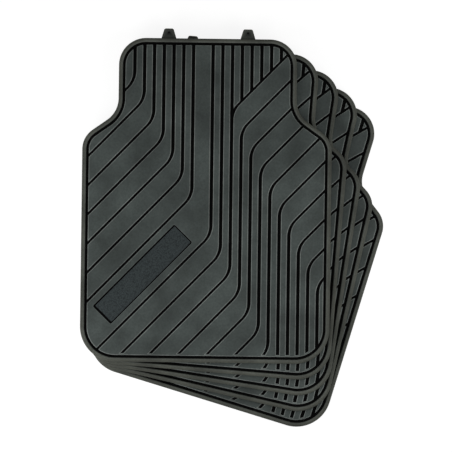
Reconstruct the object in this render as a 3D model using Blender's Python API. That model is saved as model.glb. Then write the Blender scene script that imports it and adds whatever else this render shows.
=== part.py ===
"""Set of five moulded rubber floor mats for a vehicle, laid on each other and fanned out.

Each mat is one moulding: a base sheet with a raised rim, tread panels parted by grooves, a recess for a
badge and two hanging tabs with a small hole each. A bare badge plate is bonded into each recess. The mats
turn on each other about one upright axis just outside their lower left corner. Units are metres and +Z is
up. The origin lies on the floor under the centre of the top mat, whose narrow head points along +Y.
"""

import math

import bmesh
import bpy
from mathutils import Vector

MM = 0.001

# Outline of one mat: a narrow head, a neck that curves out to the shoulders, and a wide body.
MAT_LENGTH = 631 * MM
BODY_WIDTH = 486 * MM
HEAD_WIDTH = 347 * MM
HEAD_LENGTH = 145 * MM
SHOULDER_LENGTH = 49 * MM
HEAD_RADIUS = 53 * MM
NECK_RADIUS = 52 * MM
SHOULDER_RADIUS = 46 * MM
FOOT_RADIUS = 68 * MM

# Heights in one mat: the base sheet, the panels that stand on it and the rim that stands above the panels.
BASE_THICKNESS = 2.4 * MM
PANEL_HEIGHT = 3.0 * MM
RIM_RISE = 2.6 * MM

# Rim round the edge, and the groove between it and the panels.
RIM_WIDTH = 7.8 * MM
RIM_GROOVE_WIDTH = 5.0 * MM
RIM_CHAMFER = 1.8 * MM

# Tread grooves: upright lines that bend into slanted ones, each bend a step lower than the one on its left.
GROOVE_COUNT = 20
GROOVE_PITCH = 19 * MM
UPRIGHT_GROOVE_WIDTH = 6.4 * MM
SLANTED_GROOVE_WIDTH = 4.3 * MM
SLANT_ANGLE = math.radians(45.8)
BEND_RADIUS = 46 * MM
BEND_STEP = 37.4 * MM
FIRST_BEND_DROP = 83 * MM
UPRIGHT_LENGTH = 317 * MM
BADGE_GROOVE = 7
LAST_LOWER_BEND = 14
FIRST_UPPER_BEND = 10

# Border along the heel edge of the panels, where the tread grooves stop short, and how far it climbs the
# corners.
HEEL_BORDER_WIDTH = 4 * MM
HEEL_BORDER_RISE = 10 * MM

# Badge plate, bonded into a recess on the line of the groove that is left out for it. A gap parts its edges
# from the recess, and the bond is a thin clearance under it.
BADGE_LENGTH = 218.6 * MM
BADGE_WIDTH = 44.6 * MM
BADGE_THICKNESS = 0.6 * MM
BADGE_FROM_PANEL_EDGE = 46.8 * MM
BADGE_CORNER_RADIUS = 1 * MM
BADGE_EDGE_GAP = 1.7 * MM
BADGE_CLEARANCE = 0.3 * MM

# Hanging tabs on the head's edge. A tab's hole narrows downwards and stops at a thin floor.
TAB_SPACING = 154 * MM
TAB_ROOT_WIDTH = 31.4 * MM
TAB_TIP_WIDTH = 17.5 * MM
TAB_HEIGHT = 19 * MM
TAB_THICKNESS = 3.0 * MM
TAB_TIP_RADIUS = 4 * MM
TAB_HOLE_DIAMETER = 3.2 * MM
TAB_HOLE_FOOT_DIAMETER = 1.2 * MM
TAB_HOLE_FLOOR = 0.6 * MM
TAB_HOLE_FROM_TIP = 7.5 * MM

# The fan: each mat lies on the one below it and is turned from it about the fan's axis.
MAT_COUNT = 5
FAN_STEP = math.radians(4.12)
FAN_AXIS_LEFT_OF_MAT = 3.5 * MM
FAN_AXIS_BELOW_MAT = 12 * MM
STACK_GAP = 0.3 * MM

# How finely arcs are drawn, and how far solids reach past each other where one is cut or joined.
ARC_SEGMENTS = 6
BEND_SEGMENTS = 3
HOLE_SIDES = 12
OVERLAP = 0.5 * MM
WELD_DISTANCE = 0.001 * MM
FLAT_ANGLE = math.radians(0.5)
SHARP_ANGLE = math.radians(30)

# Places that follow from the sizes above.
PANEL_TOP = BASE_THICKNESS + PANEL_HEIGHT
RIM_TOP = PANEL_TOP + RIM_RISE
PANEL_INSET = RIM_WIDTH + RIM_GROOVE_WIDTH
HEAD_EDGE = MAT_LENGTH / 2
SLANT = Vector((math.cos(SLANT_ANGLE), math.sin(SLANT_ANGLE)))
FAN_AXIS = Vector((-BODY_WIDTH / 2 - FAN_AXIS_LEFT_OF_MAT, -MAT_LENGTH / 2 - FAN_AXIS_BELOW_MAT))


def clear_scene():
    """Remove every object that is in the scene."""
    for obj in list(bpy.data.objects):
        bpy.data.objects.remove(obj, do_unlink=True)


def new_collection(name):
    """A new collection in the scene."""
    collection = bpy.data.collections.new(name)
    bpy.context.scene.collection.children.link(collection)
    return collection


def new_material(name, colour, roughness):
    """A plain non-metal material."""
    material = bpy.data.materials.new(name)
    material.use_nodes = True
    shader = material.node_tree.nodes["Principled BSDF"]
    shader.inputs["Base Color"].default_value = (*colour, 1)
    shader.inputs["Roughness"].default_value = roughness
    shader.inputs["Metallic"].default_value = 0
    return material


def fillet(before, corner, after, radius, segments):
    """Points of the arc that rounds a corner. The arc takes up at most half of each straight side."""
    back = (before - corner).normalized()
    ahead = (after - corner).normalized()
    half_angle = back.angle(ahead) / 2
    shortest_side = min((before - corner).length, (after - corner).length)
    radius = min(radius, shortest_side / 2 * math.tan(half_angle))
    centre = corner + (back + ahead).normalized() * radius / math.sin(half_angle)
    start = corner + back * radius / math.tan(half_angle) - centre
    turn = math.copysign(math.pi - 2 * half_angle, -back.cross(ahead))
    points = []
    for step in range(segments + 1):
        angle = turn * step / segments
        cosine, sine = math.cos(angle), math.sin(angle)
        points.append(centre + Vector((start.x * cosine - start.y * sine, start.x * sine + start.y * cosine)))
    return points


def rounded_outline(corners, segments=ARC_SEGMENTS):
    """Closed outline through corners given as (point, radius)."""
    points = []
    for index, (corner, radius) in enumerate(corners):
        before = corners[index - 1][0]
        after = corners[(index + 1) % len(corners)][0]
        points += fillet(before, corner, after, radius, segments)
    return points


def mat_outline(inset=0):
    """Outline of the mat, moved in by a distance. Outer corners tighten by it and inner corners widen."""
    neck_y = HEAD_EDGE - HEAD_LENGTH
    shoulder_y = neck_y - SHOULDER_LENGTH
    right = [
        (Vector((BODY_WIDTH / 2, -MAT_LENGTH / 2)), FOOT_RADIUS),
        (Vector((BODY_WIDTH / 2, shoulder_y)), SHOULDER_RADIUS),
        (Vector((HEAD_WIDTH / 2, neck_y)), NECK_RADIUS),
        (Vector((HEAD_WIDTH / 2, HEAD_EDGE)), HEAD_RADIUS),
    ]
    left = [(Vector((-point.x, point.y)), radius) for point, radius in reversed(right)]
    corners = right + left
    moved = []
    for index, (corner, radius) in enumerate(corners):
        arriving = (corner - corners[index - 1][0]).normalized()
        leaving = (corners[(index + 1) % len(corners)][0] - corner).normalized()
        turn = arriving.cross(leaving)
        shift = (leaving - arriving) * inset / turn
        moved.append((corner + shift, max(radius - math.copysign(inset, turn), OVERLAP)))
    return rounded_outline(moved)


def groove_x(index):
    """Place of an upright groove across the mat. The grooves are spread evenly about the badge's groove."""
    return (index - BADGE_GROOVE - 0.5) * GROOVE_PITCH


def lower_bend(index):
    """Corner where a groove turns from upright to slanting down and left."""
    return Vector((groove_x(index), HEAD_EDGE - FIRST_BEND_DROP - index * BEND_STEP))


def upper_bend(index):
    """Corner where a groove turns from upright to slanting up and right."""
    return lower_bend(index) + Vector((0, UPRIGHT_LENGTH))


def bend(before, corner, after, first_width, last_width):
    """Points and widths of a groove round a bend."""
    points = fillet(before, corner, after, BEND_RADIUS, BEND_SEGMENTS)
    growth = (last_width - first_width) / BEND_SEGMENTS
    return [(point, first_width + growth * step) for step, point in enumerate(points)]


def groove_line(index):
    """Centre line of a groove from its lower to its upper end, with widths. It runs on past the mat."""
    reach = Vector((0, MAT_LENGTH))
    slanted_reach = SLANT * MAT_LENGTH
    low, high = lower_bend(index), upper_bend(index)
    if index <= LAST_LOWER_BEND:
        start = low - slanted_reach
        line = [(start, SLANTED_GROOVE_WIDTH)]
        line += bend(start, low, high, SLANTED_GROOVE_WIDTH, UPRIGHT_GROOVE_WIDTH)
    else:
        line = [(low - reach, UPRIGHT_GROOVE_WIDTH)]
    if index >= FIRST_UPPER_BEND:
        end = high + slanted_reach
        line += bend(low, high, end, UPRIGHT_GROOVE_WIDTH, SLANTED_GROOVE_WIDTH)
        line.append((end, SLANTED_GROOVE_WIDTH))
    else:
        line.append((high + reach, UPRIGHT_GROOVE_WIDTH))
    return line


def head_groove_line(index):
    """Centre line of an upright groove in the head, from the first slanted groove up past the head's edge.

    The first one runs on from the upright stretch of the groove that slants off, so it starts below its bend.
    """
    corner = upper_bend(FIRST_UPPER_BEND)
    x = groove_x(index)
    y = corner.y + (x - corner.x) * math.tan(SLANT_ANGLE)
    if index == FIRST_UPPER_BEND:
        y -= BEND_RADIUS / 2
    return [(Vector((x, y)), UPRIGHT_GROOVE_WIDTH), (Vector((x, y + MAT_LENGTH)), UPRIGHT_GROOVE_WIDTH)]


def strip_outline(line):
    """Closed outline of a strip with the given centre line and widths."""
    points = [point for point, width in line]
    left, right = [], []
    for index, (point, width) in enumerate(line):
        before = points[max(index - 1, 0)]
        after = points[min(index + 1, len(points) - 1)]
        along = (after - before).normalized()
        across = Vector((-along.y, along.x)) * width / 2
        left.append(point + across)
        right.append(point - across)
    return right + left[::-1]


def badge_outline(margin=0):
    """Outline of the badge plate on the slant, grown by a margin. Its lower end keeps off the left rim."""
    corner = lower_bend(BADGE_GROOVE)
    panel_edge = -BODY_WIDTH / 2 + PANEL_INSET
    start = corner + SLANT * (panel_edge - corner.x) / SLANT.x
    centre = start + SLANT * (BADGE_FROM_PANEL_EDGE + BADGE_LENGTH / 2)
    across = Vector((-SLANT.y, SLANT.x))
    half_length = SLANT * (BADGE_LENGTH / 2 + margin)
    half_width = across * (BADGE_WIDTH / 2 + margin)
    corners = [
        centre - half_length - half_width,
        centre + half_length - half_width,
        centre + half_length + half_width,
        centre - half_length + half_width,
    ]
    return rounded_outline([(corner, BADGE_CORNER_RADIUS + margin) for corner in corners], BEND_SEGMENTS)


def tab_outline(x):
    """Outline of a hanging tab at a place along the head's edge. Its root reaches halfway into the rim."""
    root = HEAD_EDGE - RIM_WIDTH / 2
    tip = HEAD_EDGE + TAB_HEIGHT
    right_foot = Vector((x + TAB_ROOT_WIDTH / 2, root))
    left_foot = Vector((x - TAB_ROOT_WIDTH / 2, root))
    right_tip = Vector((x + TAB_TIP_WIDTH / 2, tip))
    left_tip = Vector((x - TAB_TIP_WIDTH / 2, tip))
    right_round = fillet(right_foot, right_tip, left_tip, TAB_TIP_RADIUS, BEND_SEGMENTS)
    left_round = fillet(right_tip, left_tip, left_foot, TAB_TIP_RADIUS, BEND_SEGMENTS)
    return [right_foot, *right_round, *left_round, left_foot]


def prism(name, outline, bottom, top):
    """Mesh object of a flat closed outline filled between two heights."""
    curve = bpy.data.curves.new(name, "CURVE")
    curve.dimensions = "2D"
    curve.fill_mode = "BOTH"
    curve.extrude = (top - bottom) / 2
    spline = curve.splines.new("POLY")
    spline.points.add(len(outline) - 1)
    for point, place in zip(spline.points, outline):
        point.co = (place.x, place.y, 0, 1)
    spline.use_cyclic_u = True
    drawing = bpy.data.objects.new(name, curve)
    drawing.location.z = (top + bottom) / 2
    bpy.context.scene.collection.objects.link(drawing)
    solid = bpy.data.objects.new(name, meshed(drawing))
    solid.matrix_world = drawing.matrix_world
    bpy.data.objects.remove(drawing)
    bpy.data.curves.remove(curve)
    solid.name = name
    return solid


def meshed(obj):
    """New welded mesh of an object with its modifiers applied."""
    bpy.context.view_layer.update()
    graph = bpy.context.evaluated_depsgraph_get()
    mesh = bpy.data.meshes.new_from_object(obj.evaluated_get(graph))
    shape = bmesh.new()
    shape.from_mesh(mesh)
    bmesh.ops.remove_doubles(shape, verts=shape.verts, dist=WELD_DISTANCE)
    shape.to_mesh(mesh)
    shape.free()
    return mesh


def add_helper(obj, collection):
    """Keep an object as a cutter or a pattern that isn't one of the parts."""
    obj.hide_render = True
    obj.display_type = "WIRE"
    collection.objects.link(obj)
    return obj


def add_boolean(obj, operation, other):
    """Cut another object out of this one, or join it to this one."""
    modifier = obj.modifiers.new(operation.title() + " " + other.name, "BOOLEAN")
    modifier.operation = operation
    modifier.solver = "EXACT"
    modifier.object = other


def chamfer_top(mesh, height, width):
    """Chamfer the edges that lie at a height of the mesh."""
    shape = bmesh.new()
    shape.from_mesh(mesh)
    bmesh.ops.dissolve_limit(shape, angle_limit=FLAT_ANGLE, verts=shape.verts, edges=shape.edges)
    edges = []
    for edge in shape.edges:
        at_height = all(abs(vertex.co.z - height) < WELD_DISTANCE for vertex in edge.verts)
        if at_height and edge.calc_face_angle(0) > SHARP_ANGLE:
            edges.append(edge)
    bmesh.ops.bevel(shape, geom=edges, offset=width, segments=1, profile=0.5, affect="EDGES")
    shape.to_mesh(mesh)
    shape.free()


def make_tray(helpers):
    """Base sheet with the raised rim round it."""
    slab = add_helper(prism("tray_slab", mat_outline(), 0, RIM_TOP), helpers)
    pocket = prism("tray_pocket", mat_outline(RIM_WIDTH), BASE_THICKNESS, RIM_TOP + OVERLAP)
    add_boolean(slab, "DIFFERENCE", add_helper(pocket, helpers))
    tray = bpy.data.objects.new("tray", meshed(slab))
    tray.data.transform(slab.matrix_world)
    chamfer_top(tray.data, RIM_TOP, min(RIM_CHAMFER, RIM_WIDTH / 3))
    return add_helper(tray, helpers)


def make_heel_band(bottom, top, helpers):
    """Band along the heel that the tread grooves stay out of, from the mat's edge to the border's end."""
    band = add_helper(prism("heel_band", mat_outline(), bottom, top), helpers)
    inner_line = mat_outline(PANEL_INSET + HEEL_BORDER_WIDTH)
    inside = prism("heel_band_inside", inner_line, bottom - OVERLAP, top + OVERLAP)
    end_y = -MAT_LENGTH / 2 + PANEL_INSET + HEEL_BORDER_RISE
    corners = [(-BODY_WIDTH, end_y), (BODY_WIDTH, end_y), (BODY_WIDTH, MAT_LENGTH), (-BODY_WIDTH, MAT_LENGTH)]
    above = prism("heel_band_above", [Vector(corner) for corner in corners], bottom - OVERLAP, top + OVERLAP)
    for cutter in (inside, above):
        add_boolean(band, "DIFFERENCE", add_helper(cutter, helpers))
    return band


def make_panels(helpers):
    """Tread panels: the field inside the rim groove, cut through by the tread grooves and the recess."""
    bottom = BASE_THICKNESS - OVERLAP
    cut_bottom, cut_top = bottom - OVERLAP, PANEL_TOP + OVERLAP
    lines = [groove_line(index) for index in range(GROOVE_COUNT) if index != BADGE_GROOVE]
    last_x = HEAD_WIDTH / 2 - PANEL_INSET - GROOVE_PITCH / 2
    head_grooves = [index for index in range(FIRST_UPPER_BEND, GROOVE_COUNT) if groove_x(index) < last_x]
    lines += [head_groove_line(index) for index in head_grooves]
    heel_band = make_heel_band(cut_bottom - OVERLAP, cut_top + OVERLAP, helpers)
    grooves = bpy.data.collections.new("groove_cutters")
    helpers.children.link(grooves)
    for number, line in enumerate(lines):
        groove = add_helper(prism(f"groove_{number}", strip_outline(line), cut_bottom, cut_top), grooves)
        add_boolean(groove, "DIFFERENCE", heel_band)
    recess = prism("badge_recess", badge_outline(BADGE_EDGE_GAP), cut_bottom, cut_top)
    add_helper(recess, grooves)
    panels = add_helper(prism("tread_panels", mat_outline(PANEL_INSET), bottom, PANEL_TOP), helpers)
    cut = panels.modifiers.new("Grooves", "BOOLEAN")
    cut.operation = "DIFFERENCE"
    cut.solver = "EXACT"
    cut.operand_type = "COLLECTION"
    cut.collection = grooves
    return panels


def make_tab(side, x, helpers):
    """Hanging tab at a place along the head's edge, and the cutter of its blind hole."""
    tab = add_helper(prism(f"tab_{side}", tab_outline(x), 0, TAB_THICKNESS), helpers)
    growth = (TAB_HOLE_DIAMETER - TAB_HOLE_FOOT_DIAMETER) / 2 * OVERLAP / (TAB_THICKNESS - TAB_HOLE_FLOOR)
    bpy.ops.mesh.primitive_cone_add(
        vertices=HOLE_SIDES,
        radius1=TAB_HOLE_FOOT_DIAMETER / 2,
        radius2=TAB_HOLE_DIAMETER / 2 + growth,
        depth=TAB_THICKNESS - TAB_HOLE_FLOOR + OVERLAP,
    )
    hole = bpy.context.object
    hole.name = f"tab_hole_{side}"
    middle_height = (TAB_HOLE_FLOOR + TAB_THICKNESS + OVERLAP) / 2
    hole.location = (x, HEAD_EDGE + TAB_HEIGHT - TAB_HOLE_FROM_TIP, middle_height)
    bpy.context.collection.objects.unlink(hole)
    return tab, add_helper(hole, helpers)


def make_mat_mesh(helpers):
    """Mesh of one whole mat, with its centre at the origin and its underside at height 0."""
    mat = make_tray(helpers)
    panels = make_panels(helpers)
    tabs = [make_tab("left", -TAB_SPACING / 2, helpers), make_tab("right", TAB_SPACING / 2, helpers)]
    add_boolean(mat, "UNION", panels)
    for tab, hole in tabs:
        add_boolean(mat, "UNION", tab)
        add_boolean(mat, "DIFFERENCE", hole)
    return meshed(mat)


def make_badge_mesh(helpers):
    """Mesh of the badge plate, in the mat's own frame, a bond line above the floor of the recess."""
    bottom = BASE_THICKNESS + BADGE_CLEARANCE
    plate = add_helper(prism("badge_blank", badge_outline(), bottom, bottom + BADGE_THICKNESS), helpers)
    mesh = meshed(plate)
    mesh.transform(plate.matrix_world)
    return mesh


def add_part(name, mesh, pivot, parts):
    """Node of a shared mesh, carried by the pivot on the fan's axis."""
    part = bpy.data.objects.new(name, mesh)
    part.parent = pivot
    part.location = (-FAN_AXIS.x, -FAN_AXIS.y, 0)
    parts.objects.link(part)


def main():
    """Build the mats from the bottom one up, each on a pivot that the pivot below it carries."""
    clear_scene()
    parts = new_collection("floor_mat_set")
    helpers = new_collection("cutters")
    rubber = new_material("moulded_black_rubber", (0.052, 0.056, 0.055), 0.72)
    badge_vinyl = new_material("stippled_badge_vinyl", (0.036, 0.041, 0.043), 0.6)
    mat_mesh = make_mat_mesh(helpers)
    badge_mesh = make_badge_mesh(helpers)
    for mesh, material in ((mat_mesh, rubber), (badge_mesh, badge_vinyl)):
        mesh.materials.clear()
        mesh.materials.append(material)
        mesh.shade_smooth()
        mesh.set_sharp_from_angle(angle=SHARP_ANGLE)
    below = None
    for number in range(MAT_COUNT, 0, -1):
        pivot = bpy.data.objects.new(f"fan_pivot_{number}", None)
        pivot.parent = below
        if below:
            pivot.location.z = RIM_TOP + STACK_GAP
            pivot.rotation_euler.z = FAN_STEP
        else:
            pivot.location = (FAN_AXIS.x, FAN_AXIS.y, 0)
            pivot.rotation_euler.z = -FAN_STEP * (MAT_COUNT - 1)
        parts.objects.link(pivot)
        add_part(f"mat_{number}", mat_mesh, pivot, parts)
        add_part(f"badge_plate_{number}", badge_mesh, pivot, parts)
        below = pivot


main()
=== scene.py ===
"""Dressed scene of a floor mat set: five moulded rubber mats laid on each other and fanned out.

Each mat is drawn as one moulding with a rounded rim, tread panels with bevelled edges, a badge recess and two
hanging tabs, and a bare badge plate lies in its recess. The shapes are worked out in the plan of one mat,
in metres, with the mat's middle at the origin and its narrow head towards +Y. They are then turned about
the fan's axis and raised to their place in the stack.
"""

import logging
import math
from collections.abc import Sequence
from dataclasses import dataclass
from enum import Enum

import bpy
import numpy as np
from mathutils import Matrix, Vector
from mathutils.geometry import delaunay_2d_cdt


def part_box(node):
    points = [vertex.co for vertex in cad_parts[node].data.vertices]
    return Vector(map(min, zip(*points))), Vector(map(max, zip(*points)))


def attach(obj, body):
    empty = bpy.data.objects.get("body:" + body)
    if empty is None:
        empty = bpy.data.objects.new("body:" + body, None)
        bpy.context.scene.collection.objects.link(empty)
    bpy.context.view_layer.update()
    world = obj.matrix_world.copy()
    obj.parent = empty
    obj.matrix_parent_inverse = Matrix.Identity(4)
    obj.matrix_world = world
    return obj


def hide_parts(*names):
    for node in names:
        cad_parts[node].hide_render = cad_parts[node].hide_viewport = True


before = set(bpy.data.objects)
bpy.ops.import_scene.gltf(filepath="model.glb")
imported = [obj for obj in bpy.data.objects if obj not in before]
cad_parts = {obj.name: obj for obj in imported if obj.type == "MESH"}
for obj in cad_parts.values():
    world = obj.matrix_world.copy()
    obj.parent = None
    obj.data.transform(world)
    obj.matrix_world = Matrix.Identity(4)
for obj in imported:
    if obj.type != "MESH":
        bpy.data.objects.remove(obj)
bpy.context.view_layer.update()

MM = 0.001
LOG = logging.getLogger("floor_mat_set")
Array = np.ndarray

# How finely the plan is drawn: the angle between points of an arc, the length and the angle that count as
# one step along a line, the fewest points of a stretch, and the points of a tab's hole and of each corner
# of a badge plate.
ARC_STEP = math.radians(1.5)
STRAIGHT_STEP = 14 * MM
TURN_STEP = math.radians(4)
FEWEST_POINTS = 2
HOLE_POINTS = 24
BADGE_CORNER_POINTS = 9

# Filling a flat area: only triangles inside its outlines are made, and points nearer than this count as one.
FILL_INSIDE = 1
FILL_TOLERANCE = 1e-7

# How much of the pale edge tone, scuffing with a painted highlight, shows on the rim's inner edge and on the
# recess's edge, and how much of it and of the panel's tone shows at the foot of a panel's bevel. The rest
# there is the grooves' near-black, which is painted shade.
RIM_SCUFF_AND_HIGHLIGHT = 0.15
RECESS_SCUFF_AND_HIGHLIGHT = 0.5
BEVEL_FOOT = 0.6

# Most values of a noise texture lie between these two.
NOISE_LOW = 0.3
NOISE_HIGH = 0.7

# Sockets of a Mix node for colours: the share of the second colour, the two colours and the result.
MIX_SHARE = 0
MIX_FIRST = 6
MIX_SECOND = 7
MIX_RESULT = 2
WHITE = (1.0, 1.0, 1.0, 1.0)


class Side(Enum):
    """Side of a groove, seen along it from its lower to its upper end, with the sign of its normal."""

    LEFT = 1
    RIGHT = -1


def cross(first: Array, second: Array) -> Array:
    """Signed area of the parallelogram on two plan vectors: x1 y2 - y1 x2."""
    return first[..., 0] * second[..., 1] - first[..., 1] * second[..., 0]


def unit(vectors: Array) -> Array:
    """Vectors divided by their lengths."""
    return vectors / np.linalg.norm(vectors, axis=-1, keepdims=True)


def arc(before: Array, corner: Array, after: Array, radius: float) -> Array:
    """Points of the arc that rounds a corner.

    At a corner of half angle h the arc's middle lies radius / sin h in from the corner, on the line that
    halves it, and the arc touches the sides radius / tan h from the corner. Its first spoke is turned step
    by step.

    Args:
        before: The point before the corner.
        corner: The corner.
        after: The point after the corner.
        radius: Radius of the arc.

    Returns:
        Points from the first side to the second, one row each.
    """
    back, ahead = unit(before - corner), unit(after - corner)
    half = np.arccos(back @ ahead) / 2
    middle = corner + unit(back + ahead) * radius / np.sin(half)
    spoke = corner + back * radius / np.tan(half) - middle
    turn = np.copysign(np.pi - 2 * half, -cross(back, ahead))
    angles = np.linspace(0, turn, int(np.ceil(abs(turn) / ARC_STEP)) + 1)
    cosine, sine = np.cos(angles), np.sin(angles)
    spokes = [spoke[0] * cosine - spoke[1] * sine, spoke[0] * sine + spoke[1] * cosine]
    return middle + np.column_stack(spokes)


def rounded(corners: Array, radii: Array) -> Array:
    """Closed outline of straight lines and the arcs that round its corners.

    Args:
        corners: The corners, one row each.
        radii: Radius of each corner's arc.

    Returns:
        The points, one row each. The last repeats the first.
    """
    before, after = np.roll(corners, 1, axis=0), np.roll(corners, -1, axis=0)
    arcs = [arc(*places) for places in zip(before, corners, after, radii)]
    return np.vstack([*arcs, arcs[0][:1]])


class Line:
    """A line through points of the plan, with a mark at each point that counts steps along it.

    A mark grows by one for each straight step of length and by one for each turning step of angle. Points
    spread evenly by marks lie close together on bends and far apart on straight stretches.

    Attributes:
        points: The points, one row each. A line that wraps has its first point again at its end.
        wraps: Whether a stretch may run on from the last point to the first.
        marks: The mark at each point.
    """

    def __init__(self, points: Array, wraps: bool = False) -> None:
        """Draw the line and set its marks.

        Args:
            points: The points, one row each.
            wraps: Whether a stretch may run on from the last point to the first.
        """
        self.points = points
        self.wraps = wraps
        along = np.diff(points, axis=0)
        heading = np.unwrap(np.arctan2(along[:, 1], along[:, 0]))
        turning = np.abs(np.diff(heading)) / 2
        turning = np.append(turning, 0) + np.insert(turning, 0, 0)
        steps = np.linalg.norm(along, axis=1) / STRAIGHT_STEP + turning / TURN_STEP
        self.marks = np.insert(np.cumsum(steps), 0, 0)

    def crossings(self, other: "Line") -> tuple[Array, Array]:
        """Where this line crosses another.

        Two segments p + t r and q + u s cross where t = (q - p) x s / (r x s) and u = (q - p) x r / (r x s)
        both lie between 0 and 1. All pairs of segments are tried at once.

        Args:
            other: The other line.

        Returns:
            The marks on this line and those on the other, in order along this line.
        """
        along, far_along = np.diff(self.points, axis=0), np.diff(other.points, axis=0)
        gap = other.points[None, :-1] - self.points[:-1, None]
        area = cross(along[:, None], far_along[None])
        with np.errstate(divide="ignore", invalid="ignore"):
            own = cross(gap, far_along[None]) / area
            far = cross(gap, along[:, None]) / area
        row, column = np.nonzero((own >= 0) & (own < 1) & (far >= 0) & (far < 1))
        own_marks = self.marks[row] + own[row, column] * np.diff(self.marks)[row]
        far_marks = other.marks[column] + far[row, column] * np.diff(other.marks)[column]
        order = np.argsort(own_marks)
        return own_marks[order], far_marks[order]

    def steps(self, start: float, end: float) -> float:
        """Steps from one mark to another, forwards on a line that wraps."""
        return (end - start) % self.marks[-1] if self.wraps else end - start

    def stretch(self, start: float, end: float, count: int) -> Array:
        """Points spread evenly by marks, from one mark up to but not including another.

        Args:
            start: The first mark.
            end: The mark at which the stretch ends. An open line may be followed backwards.
            count: How many points.

        Returns:
            The points, one row each.
        """
        marks = start + self.steps(start, end) * np.arange(count) / count
        if self.wraps:
            marks = marks % self.marks[-1]
        return np.column_stack([np.interp(marks, self.marks, self.points[:, axis]) for axis in (0, 1)])


# A stretch of a line: the line, its first mark and its last mark.
Stretch = tuple[Line, float, float]


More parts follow.
